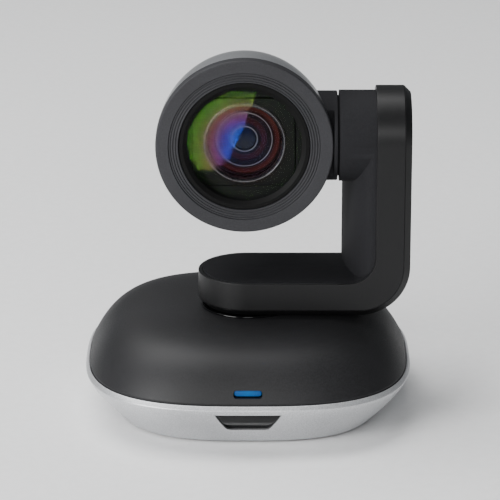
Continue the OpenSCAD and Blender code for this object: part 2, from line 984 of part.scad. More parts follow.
module lens_baffle() {
    color("#1b1c1f") on_barrel() translate([0, 0, 5.4]) ring(14.8, 10.6, 0.6);
}

module guide_rods() {
    length = housing_back + housing_front - 2 * housing_wall;
    color("#c5c7ca") on_barrel() for (s = [-1, 1])
        translate([s * rod_x, -s * rod_y, -housing_back + housing_wall])
            cylinder(r = rod_radius, h = length);
}

module drive_motor(side) {
    translate([side * rod_x, side * rod_y, -housing_back + housing_wall]) cylinder(r = 3.5, h = 7);
}

module drive_screw(side, length) {
    translate([side * rod_x, side * rod_y, -housing_back + housing_wall + 7.1]) difference() {
        cylinder(r = 0.75, h = length);
        translate([0.4, -1, length - 0.6]) cube([2, 2, 2]);
    }
}

// Carriage that rides on both guide rods and carries its nut on the screw at the given side
module carriage(side, outer, inner, thick) {
    linear_extrude(thick) difference() {
        union() {
            circle(r = outer);
            for (s = [-1, 1]) translate([s * rod_x, -s * rod_y]) circle(r = 2);
            translate([side * rod_x, side * rod_y]) circle(r = 2);
            rotate(-spoke_angle) square([2 * spoke_length, 2], center = true);
            rotate(side > 0 ? spoke_angle : spoke_angle + 180)
                translate([0, -1]) square([spoke_length, 2]);
        }
        circle(r = inner);
        for (s = [-1, 1]) translate([s * rod_x, -s * rod_y]) circle(r = rod_radius + slide_gap);
        translate([side * rod_x, side * rod_y]) circle(r = 0.75 + slide_gap);
    }
}

module zoom_motor() {
    color("#8d9094") on_barrel() drive_motor(1);
}

module zoom_screw() {
    color("#c5c7ca") on_barrel() drive_screw(1, 17.4);
}

module zoom_carriage() {
    color("#2c2d31") on_barrel() translate([0, 0, -9]) carriage(1, 10.5, 8.6, 3.4);
}

module zoom_lens() {
    color([0.35, 0.25, 0.5, 0.4]) on_barrel() translate([0, 0, -7.3]) lens(8.6, 1.6, 0.5);
}

module focus_motor() {
    color("#8d9094") on_barrel() drive_motor(-1);
}

module focus_screw() {
    color("#c5c7ca") on_barrel() drive_screw(-1, 7.2);
}

module focus_carriage() {
    color("#2c2d31") on_barrel() translate([0, 0, -14.6]) carriage(-1, 9, 7.2, 2.6);
}

module focus_lens() {
    color([0.25, 0.4, 0.45, 0.4]) on_barrel() translate([0, 0, -13.3]) lens(7.2, 1.2, 0.3);
}

module sensor_board() {
    color("#1d5b34") on_barrel() {
        translate([-14, -13, -housing_back - 1.4]) cube([28, 26, 1.4]);
        translate([-3.5, -2.8, -housing_back]) cube([7, 5.6, 1.2]);
    }
}

lower_shell();
top_cover();
bottom_plate();
rubber_feet();
tripod_insert();
port_panel();
remote_window();
status_light();
light_board();
remote_receiver();
main_board();
shield_can();
usb_port();
power_jack();
lock_plate();
pan_bridge();
pan_bearing();
pan_motor();
pan_pinion();
base_screws();
hub_ring();
pan_shaft();
pan_gear();
pan_clip();
arm_frame();
arm_lining();
arm_cover();
drive_plate();
tilt_motor();
tilt_pinion();
tilt_bearing();
arm_board();
arm_cable();
arm_screws();
barrel_shell();
rear_cap();
front_bezel();
trim_ring();
front_window();
lens_mask();
tilt_boss();
tilt_shaft();
tilt_gear();
tilt_clip();
head_frame();
head_screws();
lens_housing();
lens_tube();
front_lens();
lens_baffle();
guide_rods();
zoom_motor();
zoom_screw();
zoom_carriage();
zoom_lens();
focus_motor();
focus_screw();
focus_carriage();
focus_lens();
sensor_board();
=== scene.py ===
# %% [markdown]
# # A conference camera that pans and tilts
# The object is a video camera for a meeting room. A square silver base with a black domed lid
# stands on four rubber feet. A black L-shaped arm turns on the lid, and carries a round camera
# head between its upright and a stub axle. The CAD model already holds every part at its true
# size and place, so this lesson only adds what the eye wants: edges that catch light, fine
# moulded detail, and finishes.

import math

import bmesh
import bpy
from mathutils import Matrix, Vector


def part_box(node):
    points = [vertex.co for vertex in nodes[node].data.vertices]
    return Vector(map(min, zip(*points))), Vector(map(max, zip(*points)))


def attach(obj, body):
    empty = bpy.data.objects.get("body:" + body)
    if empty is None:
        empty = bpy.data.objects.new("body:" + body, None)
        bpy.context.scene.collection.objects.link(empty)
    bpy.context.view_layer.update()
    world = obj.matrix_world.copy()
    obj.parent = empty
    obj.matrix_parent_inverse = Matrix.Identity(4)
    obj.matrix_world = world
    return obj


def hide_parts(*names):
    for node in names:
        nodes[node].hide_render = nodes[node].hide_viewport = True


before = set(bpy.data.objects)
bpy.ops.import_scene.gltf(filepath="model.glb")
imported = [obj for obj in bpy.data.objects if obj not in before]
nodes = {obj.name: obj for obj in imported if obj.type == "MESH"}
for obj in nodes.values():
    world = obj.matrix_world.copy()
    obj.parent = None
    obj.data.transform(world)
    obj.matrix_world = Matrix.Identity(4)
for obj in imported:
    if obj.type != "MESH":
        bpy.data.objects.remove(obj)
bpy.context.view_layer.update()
scene = bpy.context.scene
MM = 0.001

# %% [markdown]
# A long lens from far away keeps upright edges upright. The camera stands 1.2 m off, well above
# the head, and looks down at the middle of the object.

# %% Camera
camera_data = bpy.data.cameras.new("long_lens")
camera_data.sensor_width = 36
camera_data.lens = 218.9
camera_distance = 1.222
camera = bpy.data.objects.new("long_lens", camera_data)
scene.collection.objects.link(camera)
look_at = Vector((0.0008, 0, 0.0629))
downward = math.radians(18.6)
camera.location = look_at + camera_distance * Vector((0, -math.cos(downward), math.sin(downward)))
camera.rotation_euler = (look_at - camera.location).to_track_quat("-Z", "Y").to_euler()
scene.camera = camera
print("camera height in mm:", round(camera.location.z / MM))

# %% [markdown]
# Three small helpers serve every material. One turns a screen colour into the linear value that
# light is counted in. One adds a node with its settings and links. The last starts a material
# with its shader, its output and the piece's own coordinates, so a pattern stays on the piece.

# %% Helpers for materials


def linear(screen_colour):
    shares = [int(screen_colour[i : i + 2], 16) / 255 for i in (1, 3, 5)]
    curve = [c / 12.92 if c <= 0.04045 else ((c + 0.055) / 1.055) ** 2.4 for c in shares]
    return (*curve, 1.0)


def add_node(tree, kind, values=(), links=(), **settings):
    node = tree.nodes.new(kind)
    for name, value in settings.items():
        setattr(node, name, value)
    for key, value in dict(values).items():
        node.inputs[key].default_value = value
    for key, source in dict(links).items():
        tree.links.new(source, node.inputs[key])
    return node


def start_finish(name, **shader_values):
    finish = bpy.data.materials.new(name)
    finish.use_nodes = True
    tree = finish.node_tree
    tree.nodes.clear()
    named = {key.replace("_", " "): value for key, value in shader_values.items()}
    shader = add_node(tree, "ShaderNodeBsdfPrincipled", values=named)
    add_node(tree, "ShaderNodeOutputMaterial", links={"Surface": shader.outputs[0]})
    place = add_node(tree, "ShaderNodeTexCoord").outputs["Object"]
    return finish, tree, shader, place


# %% [markdown]
# Most of this object is moulded plastic and paint. Such a surface has a fine grain, from the
# spark-eroded mould or from the flakes in the paint, and a slow drift of tone over several
# centimetres. One recipe makes both: the grain's real width in millimetres sets the noise, and
# the same noise moves the colour, the roughness and a very small bump.

# %% The grained finish


def grained(name, dark, light, grain, rough, bump=0.01, drift=35, **shader_values):
    finish, tree, shader, place = start_finish(name, **shader_values)
    grain_noise = add_node(
        tree, "ShaderNodeTexNoise", {"Scale": 1 / (grain * MM), "Detail": 3.0}, {"Vector": place}
    )
    drift_noise = add_node(
        tree, "ShaderNodeTexNoise", {"Scale": 1 / (drift * MM), "Detail": 1.0}, {"Vector": place}
    )
    both = add_node(
        tree,
        "ShaderNodeMath",
        {1: 0.5},
        {0: drift_noise.outputs[0], 2: grain_noise.outputs[0]},
        operation="MULTIPLY_ADD",
    )
    tone = add_node(tree, "ShaderNodeValToRGB", links={"Fac": both.outputs[0]})
    tone.color_ramp.elements[0].position = 0.55
    tone.color_ramp.elements[0].color = linear(dark)
    tone.color_ramp.elements[1].position = 0.95
    tone.color_ramp.elements[1].color = linear(light)
    tree.links.new(tone.outputs["Color"], shader.inputs["Base Color"])
    gloss = add_node(
        tree,
        "ShaderNodeMapRange",
        {"From Min": 0.3, "From Max": 0.7, "To Min": rough[0], "To Max": rough[1]},
        {"Value": grain_noise.outputs[0]},
    )
    tree.links.new(gloss.outputs[0], shader.inputs["Roughness"])
    relief = add_node(
        tree,
        "ShaderNodeBump",
        {"Strength": 1.0, "Distance": bump * MM},
        {"Height": grain_noise.outputs[0]},
    )
    tree.links.new(relief.outputs[0], shader.inputs["Normal"])
    return finish


# %% [markdown]
# The lower shell is ABS sprayed with silver paint: aluminium flakes under a matt clear coat.
# The flakes are a tenth of a millimetre and would not show from here, so they are drawn as
# clusters about half a millimetre wide, as the eye sees them sparkle together.

# %% Paints and moulded plastics of the outside
silver_paint = grained(
    "metallic_silver_paint_sprayed", "#adaeb0", "#cfd0d2", 0.5, (0.36, 0.52), 0.006,
    Metallic=0.7, Coat_Weight=0.15, Coat_Roughness=0.4,
)
# Spark-eroded ABS: a dry black with a grain that scatters light, hence a soft grey bloom.
textured_abs = grained(
    "black_abs_spark_eroded", "#111112", "#1e1e20", 0.55, (0.46, 0.6), 0.03,
    Specular_IOR_Level=0.33,
)
# Soft-touch paint on the arm: finer and closer than the mould grain, with a satin sheen.
arm_paint = grained(
    "black_satin_paint_on_abs", "#0a0a0b", "#121213", 0.4, (0.36, 0.46), 0.006,
    Specular_IOR_Level=0.27,
)
# The barrel is sprayed in a darker metallic grey, which looks bright where a lamp faces it.
barrel_paint = grained(
    "gunmetal_paint_sprayed", "#a8a9ab", "#bdbec0", 0.5, (0.28, 0.38), 0.004,
    Metallic=0.85, Coat_Weight=0.2, Coat_Roughness=0.2,
)
# The head's front ring is moulded in grey-black polycarbonate with a fine matt grain.
bezel_plastic = grained(
    "grey_polycarbonate_moulded", "#272729", "#333336", 0.45, (0.5, 0.62), 0.02,
    Specular_IOR_Level=0.2,
)
rear_plastic = grained(
    "black_polycarbonate_moulded", "#151516", "#1f1f21", 0.5, (0.35, 0.5), 0.02
)
# Inside the head and on the arm's lining the plastic is dull, so it throws no light about.
mask_black = grained(
    "dull_black_abs_moulded", "#141415", "#1b1b1c", 0.5, (0.75, 0.85), 0.01,
    Specular_IOR_Level=0.06,
)
lining_black = grained(
    "dull_black_paint_sprayed", "#1c1c1e", "#252527", 0.45, (0.72, 0.8), 0.015,
    Specular_IOR_Level=0.08,
)
# Tooled gloss black: polished mould, so nearly a mirror, with only faint waviness.
gloss_plastic = grained(
    "gloss_black_polycarbonate", "#050506", "#080809", 3.0, (0.05, 0.09), 0.002,
    Specular_IOR_Level=0.25,
)
# Round the window the black is flocked and satin, so that it throws nothing into the lens.
stop_black = grained(
    "black_flocked_stop", "#050505", "#0a0a0a", 0.3, (0.5, 0.65), 0.01, Specular_IOR_Level=0.12
)
foot_rubber = grained("black_rubber_moulded", "#131313", "#1f1f1f", 0.6, (0.7, 0.9), 0.04)
print("outside finishes:", len(bpy.data.materials))

# %% [markdown]
# The inner parts are seldom seen, but the underside, the sockets and an opened camera show them,
# so each gets its own finish too: turned brass, plated steel, sintered bronze, nylon and so on.
# All share the grained recipe. The circuit boards have a brick pattern for their copper tracks.

# %% Finishes of the inner parts
brass = grained("brass_turned", "#b08d45", "#cdae68", 0.3, (0.25, 0.4), 0.01, Metallic=1.0)
steel = grained("steel_ground", "#8b8d90", "#a9abae", 0.25, (0.22, 0.38), 0.006, Metallic=1.0)
zinc_plate = grained("steel_zinc_plated", "#a4a8ac", "#c4c8cc", 0.3, (0.25, 0.4), 0.01, Metallic=1.0)
zinc_casting = grained("zinc_die_cast", "#77797c", "#94969a", 0.7, (0.45, 0.65), 0.04, Metallic=0.9)
bronze = grained("bronze_sintered", "#8a6238", "#a87e4c", 0.4, (0.45, 0.6), 0.03, Metallic=0.9)
nylon = grained("nylon_moulded_white", "#d8d6cf", "#e9e7e1", 0.8, (0.35, 0.5), 0.02)
motor_can = grained("nickel_plated_can", "#8f8f8c", "#adaca8", 0.4, (0.2, 0.35), 0.004, Metallic=1.0)
sheet_black = grained("pressed_steel_blackened", "#1a1a1c", "#262629", 0.5, (0.4, 0.55), 0.02, Metallic=0.5)
ribbon = grained("polyimide_ribbon", "#7a4a18", "#8f5a22", 0.6, (0.25, 0.4), 0.004)

board, tree, shader, place = start_finish("glass_epoxy_board_green", Roughness=0.35, Coat_Weight=0.3)
tracks = add_node(
    tree, "ShaderNodeTexBrick", {"Scale": 1 / (3.2 * MM), "Mortar Size": 0.06}, {"Vector": place}
)
tracks.inputs["Color1"].default_value = linear("#0f4a2a")
tracks.inputs["Color2"].default_value = linear("#125432")
tracks.inputs["Mortar"].default_value = linear("#2a7a4c")
tree.links.new(tracks.outputs["Color"], shader.inputs["Base Color"])
print("all finishes:", len(bpy.data.materials))

# %% [markdown]
# Camera glass is coated against reflections, and what it still reflects is coloured. Here the
# tint is a painted reflection colour, set by the distance from the lens axis on the glass itself:
# blue near the axis, further out mauve and olive, and at the rim green. On real glass that colour
# shifts with the slant at which light meets the coating. Coated glass mirrors far less than bare
# glass, whose index is 1.5, so the mirror share comes from a matched index close to 1.

# %% Coated glass
lens_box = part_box("front_window")
lens_axis = ((lens_box[0].x + lens_box[1].x) / 2, (lens_box[0].z + lens_box[1].z) / 2)


# Painted reflection: a colour laid on by the distance from the lens axis, used for the glass tints and the
# lens cell's red rings.
def painted_reflection_by_radius(tree, place, reach, tints):
    centred = add_node(
        tree,
        "ShaderNodeMapping",
        {"Location": (-lens_axis[0], 0, -lens_axis[1]), "Scale": (1, 0, 1)},
        {"Vector": place},
    )
    distance = add_node(
        tree, "ShaderNodeVectorMath", links={0: centred.outputs[0]}, operation="LENGTH"
    )
    share = add_node(
        tree, "ShaderNodeMapRange", {"From Max": reach * MM}, {"Value": distance.outputs["Value"]}
    )
    ramp = add_node(tree, "ShaderNodeValToRGB", links={"Fac": share.outputs[0]})
    stops = ramp.color_ramp.elements
    for number, (radius, tint) in enumerate(tints):
        stop = stops[0] if number == 0 else stops.new(radius / reach)
        stop.position = radius / reach
        stop.color = linear(tint)
    stops.remove(stops[-1])
    return ramp.outputs["Color"]


def coated_glass(name, reach, tints, mirror_index):
    finish, tree, shader, place = start_finish(name, Metallic=1.0)
    tree.links.new(painted_reflection_by_radius(tree, place, reach, tints), shader.inputs["Base Color"])
    smear = add_node(
        tree, "ShaderNodeTexNoise", {"Scale": 1 / (6 * MM), "Detail": 2.0}, {"Vector": place}
    )
    polish = add_node(
        tree, "ShaderNodeMapRange", {"To Min": 0.0, "To Max": 0.006}, {"Value": smear.outputs[0]}
    )
    tree.links.new(polish.outputs[0], shader.inputs["Roughness"])
    mirror_share = add_node(tree, "ShaderNodeFresnel", {"IOR": mirror_index})
    clear = add_node(tree, "ShaderNodeBsdfTransparent")
    both = add_node(
        tree,
        "ShaderNodeMixShader",
        links={0: mirror_share.outputs[0], 1: clear.outputs[0], 2: shader.outputs[0]},
    )
    output = next(node for node in tree.nodes if node.type == "OUTPUT_MATERIAL")
    tree.links.new(both.outputs[0], output.inputs["Surface"])
    return finish


# The tints of both glasses are painted reflection colours by radius, not a colour the glass has.
window_glass = coated_glass(
    "coated_flat_glass",
    25.0,
    [
        (4.0, "#1f66e8"), (8.0, "#2c4fd8"), (11.0, "#84488c"),
        (15.0, "#8c5a48"), (18.0, "#6f8a34"), (22.0, "#3f8a24"),
    ],
    1.17,
)
lens_glass = coated_glass(
    "coated_lens_glass",
    16.0,
    [(3.0, "#9fc0ff"), (8.0, "#5f6ff0"), (12.0, "#8a50c0"), (15.0, "#a05a50")],
    1.07,
)
print("glass finishes are centred on", [round(c / MM, 1) for c in lens_axis])

# %% [markdown]
# The status light is a strip of milky acrylic with a blue lamp behind it. It glows from inside,
# brightest in the middle, and has a satin skin.

# %% Light guide
light_guide, tree, shader, place = start_finish(
    "milky_acrylic_lit_blue", Roughness=0.5, Specular_IOR_Level=0.2, Emission_Strength=0.42
)
guide_half = 5.4
along = add_node(tree, "ShaderNodeSeparateXYZ", links={"Vector": place})
middle = add_node(
    tree, "ShaderNodeMath", links={0: along.outputs["X"]}, operation="ABSOLUTE"
)
fall = add_node(
    tree, "ShaderNodeMapRange", {"From Max": guide_half * MM}, {"Value": middle.outputs[0]}
)
glow = add_node(tree, "ShaderNodeValToRGB", links={"Fac": fall.outputs[0]})
glow.color_ramp.elements[0].color = linear("#0d7ccc")
glow.color_ramp.elements[1].color = linear("#084f98")
tree.links.new(glow.outputs["Color"], shader.inputs["Emission Color"])
shader.inputs["Base Color"].default_value = linear("#06305c")

# %% [markdown]
# Now the mesh helpers. `clean` merges doubles, turns all faces outwards and marks as sharp only
# the edges that really are corners, so curved walls shade smoothly. `dress` gives a piece its
# finish, its body and the CAD nodes that it stands for. It also weights the normals by face
# area, so that a wide flat face stays flat right up to its small rounded edge.

# %% Helpers for meshes


def clean(mesh, corner=35):
    work = bmesh.new()
    work.from_mesh(mesh)
    bmesh.ops.remove_doubles(work, verts=work.verts, dist=0.002 * MM)
    bmesh.ops.recalc_face_normals(work, faces=work.faces)
    for face in work.faces:
        face.smooth = True
    for edge in work.edges:
        edge.smooth = len(edge.link_faces) == 2 and edge.calc_face_angle() < math.radians(corner)
    work.to_mesh(mesh)
    work.free()


def piece_from(name, points, faces, corner=35):
    mesh = bpy.data.meshes.new(name)
    mesh.from_pydata([Vector(p) * MM for p in points], [], faces)
    clean(mesh, corner)
    piece = bpy.data.objects.new(name, mesh)
    scene.collection.objects.link(piece)
    return piece


def apply_all(piece):
    ready = piece.evaluated_get(bpy.context.evaluated_depsgraph_get())
    mesh = bpy.data.meshes.new_from_object(ready)
    piece.modifiers.clear()
    piece.data = mesh
    return piece


def cut(piece, *tools):
    for tool in tools:
        knife = piece.modifiers.new("cut", "BOOLEAN")
        knife.object = tool
        knife.operation = "DIFFERENCE"
        knife.solver = "EXACT"
    apply_all(piece)
    for tool in tools:
        bpy.data.objects.remove(tool)
    clean(piece.data)


def dress(piece, finish, body, record_slot, *stands_for):
    level = piece.modifiers.new("level", "WEIGHTED_NORMAL")
    level.keep_sharp = True
    apply_all(piece)
    piece.data.materials.clear()
    piece.data.materials.append(finish)
    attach(piece, body)
    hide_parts(*stands_for)
    print(piece.name, "has", len(piece.data.polygons), "faces")


# %% [markdown]
# Three shapes come back again and again. A turned part is an outline spun round an axis. A loft
# joins rings of points into a closed skin. A prism is a flat outline given depth. Their corners
# are eased first, because a real edge is never knife-sharp and its small round draws a highlight.

# %% Turned parts, lofts and prisms


def eased(corners, steps=5):
    outline = []
    for number, (x, y, radius) in enumerate(corners):
        here = Vector((x, y))
        if not radius:
            outline.append(here)
            continue
        back = Vector(corners[number - 1][:2]) - here
        ahead = Vector(corners[(number + 1) % len(corners)][:2]) - here
        reach = radius / math.tan(back.angle(ahead) / 2)
        start = here + back.normalized() * reach
        end = here + ahead.normalized() * reach
        for step in range(steps + 1):
            t = step / steps
            outline.append(start * (1 - t) ** 2 + here * 2 * t * (1 - t) + end * t * t)
    return outline


def loft(rings, closed=True):
    count = len(rings[0])
    points = [p for ring in rings for p in ring]
    pairs = range(len(rings)) if closed else range(len(rings) - 1)
    faces = [
        (
            k * count + i,
            k * count + (i + 1) % count,
            (k + 1) % len(rings) * count + (i + 1) % count,
            (k + 1) % len(rings) * count + i,
        )
        for k in pairs
        for i in range(count)
    ]
    if not closed:
        faces += [tuple(range(count)), tuple(range(len(points) - count, len(points)))]
    return points, faces


def turned(outline, place, around=160):
    turns = [2 * math.pi * i / around for i in range(around)]
    return loft([[place(radius, along, turn) for turn in turns] for radius, along in outline])


def on_lens_axis(radius, along, turn):
    return (
        lens_axis[0] / MM + radius * math.cos(turn),
        along,
        lens_axis[1] / MM + radius * math.sin(turn),
    )


def on_tilt_axis(radius, along, turn):
    return (along, radius * math.cos(turn), lens_axis[1] / MM + radius * math.sin(turn))


def prism_in_y(outline, near, far):
    return loft([[(x, y, z) for x, z in outline] for y in (near, far)], closed=False)


# %% [markdown]
# ## The base
# Seen from above, the base is a superellipse: rounder than a square, squarer than a circle. The
# silver wall leans in towards the feet, and ends at the top in a narrow sloping lip. It is one
# closed skin of rings, up the outside, over the lip and down the inside. The lip's crease is a
# short curve, and a groove behind the lip makes the dark line that parts it from the lid.

# %% Lower shell
BASE_POWER = 2.9
RIM = (65.5, 65.0, 18.9)
LIP = (64.4, 63.6, 20.3)


def base_ring(half_x, half_y, height, count=320):
    ring = []
    for i in range(count):
        c, s = math.cos(2 * math.pi * i / count), math.sin(2 * math.pi * i / count)
        reach = (abs(c / half_x) ** BASE_POWER + abs(s / half_y) ** BASE_POWER) ** (-1 / BASE_POWER)
        ring.append((reach * c, reach * s, height))
    return ring


def wall_sizes(height, inset=0.0):
    share = 1 - 0.23 * (1 - height / RIM[2]) ** 1.24
    return (RIM[0] * share - inset, RIM[1] * share - inset, height)


def between(a, b, t):
    return tuple(p + (q - p) * t for p, q in zip(a, b))


def bend(a, b, c, steps=6):
    t = [step / steps for step in range(steps + 1)]
    return [between(between(a, b, s), between(b, c, s), s) for s in t]


outside = bend(wall_sizes(1.0, 0.5), wall_sizes(1.0), wall_sizes(1.5), 4)
outside += [wall_sizes(1.5 + 17.0 * k / 30) for k in range(1, 30)]
outside += bend(wall_sizes(18.5), RIM, between(RIM, LIP, 0.3))
outside += bend(between(RIM, LIP, 0.85), LIP, (64.2, 63.4, 20.3), 4)
groove = bend((64.1, 63.3, 20.3), (64.0, 63.2, 20.3), (64.0, 63.2, 20.1), 3)
groove += [(64.0, 63.2, 19.3), (63.0, 62.2, 19.3)]
inside = [wall_sizes(18.0 - 17.0 * k / 12, 2.0) for k in range(13)]
shell_rings = [base_ring(*sizes) for sizes in outside + groove + inside]
shell = piece_from("silver_lower_shell", *loft(shell_rings))

# %% [markdown]
# Two openings go through the wall: the dark window for the remote control at the front and the
# socket recess at the back. A boolean with a prism cuts each.

# %% Cut the window and the sockets out of the shell
WINDOW_SILL, WINDOW_TOP = 8.5, 16.7
CORNER_X, CORNER_Z, CORNER_RADIUS = 6.6, 11.3, 2.8
SLOPE_FROM, HALF_THERE, SLOPE = 9.9, 9.03, 0.5545
GAP = 0.12


def window_half(height, gap=0.0):
    if height < SLOPE_FROM:
        return CORNER_X + math.sqrt(max((CORNER_RADIUS + gap) ** 2 - (CORNER_Z - height) ** 2, 0))
    return HALF_THERE + (height - SLOPE_FROM) * SLOPE + gap


side_heights = [WINDOW_SILL + (WINDOW_TOP - WINDOW_SILL) * k / 24 for k in range(25)]
side = [
    (CORNER_X, WINDOW_SILL - GAP),
    *[(window_half(height, GAP), height) for height in side_heights],
    (window_half(WINDOW_TOP, GAP), WINDOW_TOP + GAP),
]
around = side + [(-x, z) for x, z in reversed(side)]
window_hole = piece_from("tool_window", *prism_in_y(around, -80, -50))
socket_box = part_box("port_panel")
socket_low, socket_high = socket_box[0] / MM, socket_box[1] / MM
socket_edge = [
    (socket_high.x + GAP, socket_high.z + GAP, 0.8),
    (socket_low.x - GAP, socket_high.z + GAP, 0.8),
    (socket_low.x - GAP, socket_low.z - GAP, 0.8),
    (socket_high.x + GAP, socket_low.z - GAP, 0.8),
]
socket_hole = piece_from("tool_sockets", *prism_in_y(eased(socket_edge), 44, 80))
cut(shell, window_hole, socket_hole)
dress(shell, silver_paint, "base", "silver_paint", "lower_shell")

# %% [markdown]
# The remote-control window is a plate of gloss black plastic that lets infrared through. It
# follows the curve of the wall a quarter of a millimetre deep. Half way down it folds inwards,
# so its two halves mirror different things. A small bevel runs all round its edge. The plate is
# a stack of closed slices.

# %% Remote-control window
FOLD_HEIGHT, FOLD_SLOPE, EDGE_BEVEL = 12.7, 0.3, 0.3


def wall_front(x, height, depth):
    half_x, half_y, _ = wall_sizes(height, depth)
    return -half_y * (1 - abs(x / half_x) ** BASE_POWER) ** (1 / BASE_POWER)


def window_slice(height, bevel, across=40):
    half = window_half(height) - 0.03
    sink = 0.22 + bevel + max(0.0, FOLD_HEIGHT - height) * FOLD_SLOPE
    face = [((half - EDGE_BEVEL) * (2 * k / across - 1), sink) for k in range(across + 1)]
    front = [(-half, sink + EDGE_BEVEL), *face, (half, sink + EDGE_BEVEL)]
    back = [(half, 2.6), (-half, 2.6)]
    return [(x, wall_front(x, height, depth), height) for x, depth in front + back]


heights = [(8.5, 0.3), (8.75, 0.0), *[(8.9 + 3.8 * k / 10, 0.0) for k in range(11)]]
heights += [*[(12.8 + 3.6 * k / 10, 0.0) for k in range(11)], (16.5, 0.0), (16.7, 0.25)]
slices = [window_slice(*row) for row in heights]
remote_window = piece_from("remote_window_plate", *loft(slices, closed=False), 14)
dress(remote_window, gloss_plastic, "base", "gloss_black", "remote_window")

# %% [markdown]
# ## The lid
# The lid follows a rule: its height falls with the seventh power of the distance from the
# middle, so it is flat round the arm and steep at the edge. That is a job for Geometry Nodes. A
# flat grid is bent by arithmetic: one direction runs round the superellipse, the other out
# from the hub and down a short skirt. Every size is an input of the tree.

# %% The lid's node tree


def new_tree(name, *inputs):
    tree = bpy.data.node_groups.new(name, "GeometryNodeTree")
    for label, kind in (*inputs, ("Finish", "Material")):
        tree.interface.new_socket(label, in_out="INPUT", socket_type="NodeSocket" + kind)
    tree.interface.new_socket("Geometry", in_out="OUTPUT", socket_type="NodeSocketGeometry")
    return tree


lid_sizes = {
    "Half width": 64.15 * MM, "Half depth": 63.35 * MM, "Corner power": BASE_POWER,
    "Edge height": 20.3 * MM, "Rise": 20.1 * MM, "Rise power": 7.0, "Edge share": 0.9935,
    "Hub share": 0.19, "Skirt": 1.9 * MM,
}
skirt_part = 0.06
lid_tree = new_tree("lid_rule", *[(label, "Float") for label in lid_sizes])
size = add_node(lid_tree, "NodeGroupInput").outputs
grid = add_node(
    lid_tree, "GeometryNodeMeshGrid", {"Size X": 1.0, "Size Y": 1.0, "Vertices X": 321, "Vertices Y": 81}
)
where = add_node(lid_tree, "GeometryNodeInputPosition")
spot = add_node(lid_tree, "ShaderNodeSeparateXYZ", links={0: where.outputs[0]})
turn = add_node(
    lid_tree, "ShaderNodeMath", {1: 2 * math.pi, 2: math.pi}, {0: spot.outputs["X"]}, operation="MULTIPLY_ADD"
)
outward = add_node(
    lid_tree, "ShaderNodeMath", {1: 1 + skirt_part, 2: (1 + skirt_part) / 2},
    {0: spot.outputs["Y"]}, operation="MULTIPLY_ADD",
)
on_top = add_node(
    lid_tree, "ShaderNodeMath", {1: 1.0}, {0: outward.outputs[0]}, operation="MINIMUM"
)
past = add_node(lid_tree, "ShaderNodeMath", {1: 1.0}, {0: outward.outputs[0]}, operation="SUBTRACT")
skirt_share = add_node(
    lid_tree, "ShaderNodeMapRange", {"From Min": 0.0, "From Max": skirt_part}, {"Value": past.outputs[0]}
)
left_over = add_node(
    lid_tree, "ShaderNodeMath", {0: 1.0}, {1: on_top.outputs[0]}, operation="SUBTRACT"
)
eased_in = add_node(
    lid_tree, "ShaderNodeMath", {1: 2.0}, {0: left_over.outputs[0]}, operation="POWER"
)
rho = add_node(
    lid_tree, "ShaderNodeMapRange", {"From Min": 0.0, "From Max": 1.0},
    {"Value": eased_in.outputs[0], "To Min": size["Edge share"], "To Max": size["Hub share"]},
)
cosine = add_node(lid_tree, "ShaderNodeMath", links={0: turn.outputs[0]}, operation="COSINE")
sine = add_node(lid_tree, "ShaderNodeMath", links={0: turn.outputs[0]}, operation="SINE")
terms = []
for wave, half in ((cosine, "Half width"), (sine, "Half depth")):
    scaled = add_node(
        lid_tree, "ShaderNodeMath", links={0: wave.outputs[0], 1: size[half]}, operation="DIVIDE"
    )
    plain = add_node(lid_tree, "ShaderNodeMath", links={0: scaled.outputs[0]}, operation="ABSOLUTE")
    raised = add_node(
        lid_tree, "ShaderNodeMath",
        links={0: plain.outputs[0], 1: size["Corner power"]}, operation="POWER",
    )
    terms.append(raised)
total = add_node(
    lid_tree, "ShaderNodeMath", links={0: terms[0].outputs[0], 1: terms[1].outputs[0]}, operation="ADD"
)
root = add_node(
    lid_tree, "ShaderNodeMath", {0: -1.0}, {1: size["Corner power"]}, operation="DIVIDE"
)
reach = add_node(
    lid_tree, "ShaderNodeMath", links={0: total.outputs[0], 1: root.outputs[0]}, operation="POWER"
)
radius = add_node(
    lid_tree, "ShaderNodeMath", links={0: reach.outputs[0], 1: rho.outputs[0]}, operation="MULTIPLY"
)
across = add_node(
    lid_tree, "ShaderNodeMath", links={0: radius.outputs[0], 1: cosine.outputs[0]}, operation="MULTIPLY"
)
deep = add_node(
    lid_tree, "ShaderNodeMath", links={0: radius.outputs[0], 1: sine.outputs[0]}, operation="MULTIPLY"
)
fallen = add_node(
    lid_tree, "ShaderNodeMath", links={0: rho.outputs[0], 1: size["Rise power"]}, operation="POWER"
)
share = add_node(lid_tree, "ShaderNodeMath", {0: 1.0}, {1: fallen.outputs[0]}, operation="SUBTRACT")
height = add_node(
    lid_tree, "ShaderNodeMath",
    links={0: share.outputs[0], 1: size["Rise"], 2: size["Edge height"]}, operation="MULTIPLY_ADD",
)
drop = add_node(
    lid_tree, "ShaderNodeMath", links={0: skirt_share.outputs[0], 1: size["Skirt"]}, operation="MULTIPLY"
)
low = add_node(
    lid_tree, "ShaderNodeMath", links={0: height.outputs[0], 1: drop.outputs[0]}, operation="SUBTRACT"
)
bent = add_node(
    lid_tree, "ShaderNodeCombineXYZ",
    links={"X": across.outputs[0], "Y": deep.outputs[0], "Z": low.outputs[0]},
)
moved = add_node(
    lid_tree, "GeometryNodeSetPosition", links={"Geometry": grid.outputs["Mesh"], "Position": bent.outputs[0]}
)
sewn = add_node(
    lid_tree, "GeometryNodeMergeByDistance", {"Distance": 0.002 * MM}, {"Geometry": moved.outputs[0]}
)
real = add_node(lid_tree, "GeometryNodeRealizeInstances", links={"Geometry": sewn.outputs[0]})
painted = add_node(
    lid_tree, "GeometryNodeSetMaterial", links={"Geometry": real.outputs[0], "Material": size["Finish"]}
)
add_node(lid_tree, "NodeGroupOutput", links={0: painted.outputs[0]})
print("lid rule has", len(lid_tree.nodes), "nodes")

